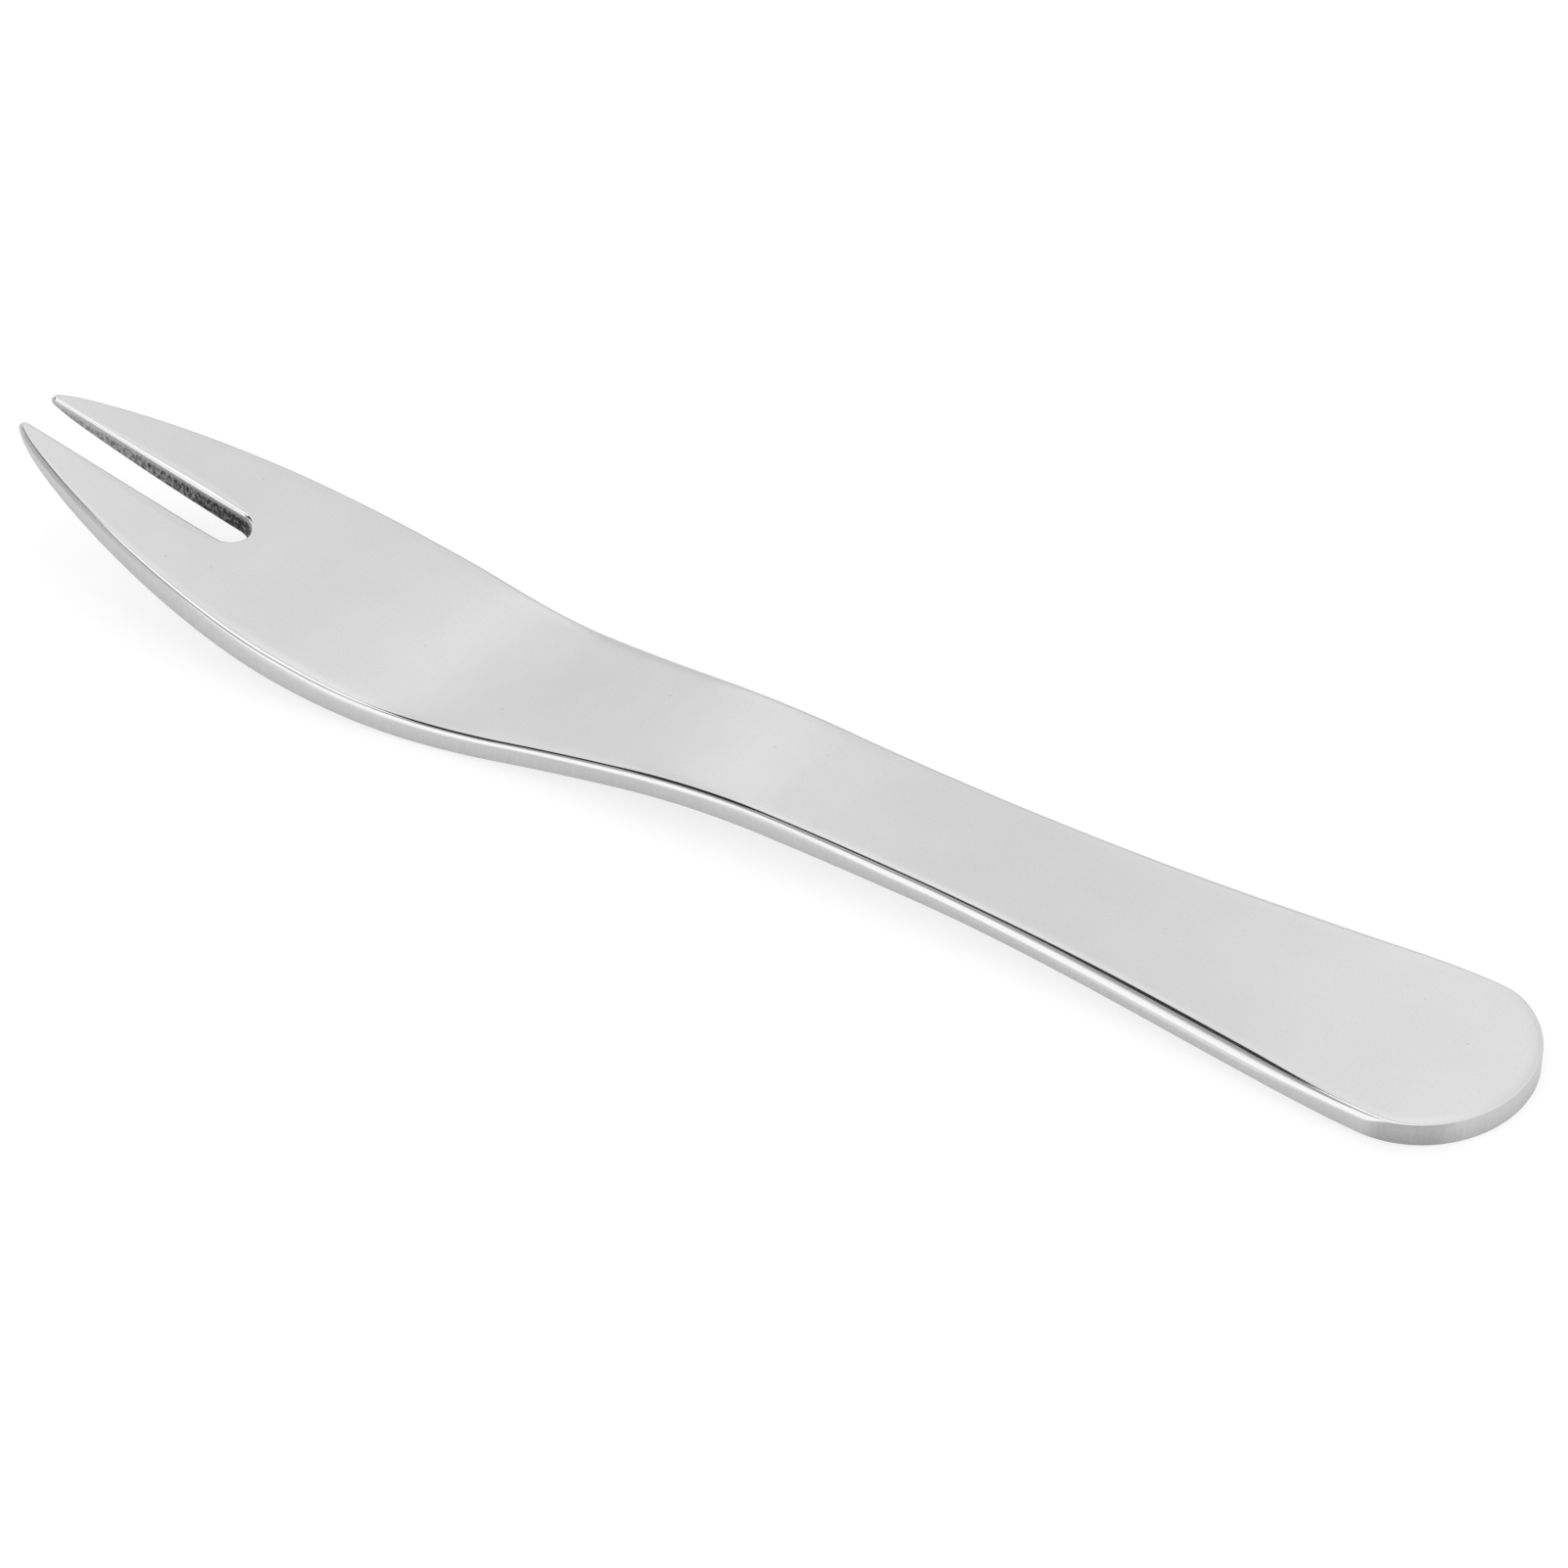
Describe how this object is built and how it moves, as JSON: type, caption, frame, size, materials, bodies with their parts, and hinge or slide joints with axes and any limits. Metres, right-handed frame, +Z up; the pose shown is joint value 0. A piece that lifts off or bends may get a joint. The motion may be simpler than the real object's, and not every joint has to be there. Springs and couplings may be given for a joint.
{
  "type": "fruit fork",
  "caption": "Slim two-tine fruit fork pressed from one sheet of polished stainless steel, with a flat tapering handle, a dropped neck and a leaf-shaped head.",
  "frame": {"origin": "on the table, under the middle of the fork's length and width", "axes": "+X towards the handle end, the tines point to -X, +Z up, symmetric about the XZ plane"},
  "size_m": [0.134, 0.0202, 0.0094],
  "materials": {
    "polished_steel": "polished stainless steel with satin cut edges"
  },
  "bodies": {
    "root": {"fork_body": "polished_steel"}
  },
  "joints": []
}
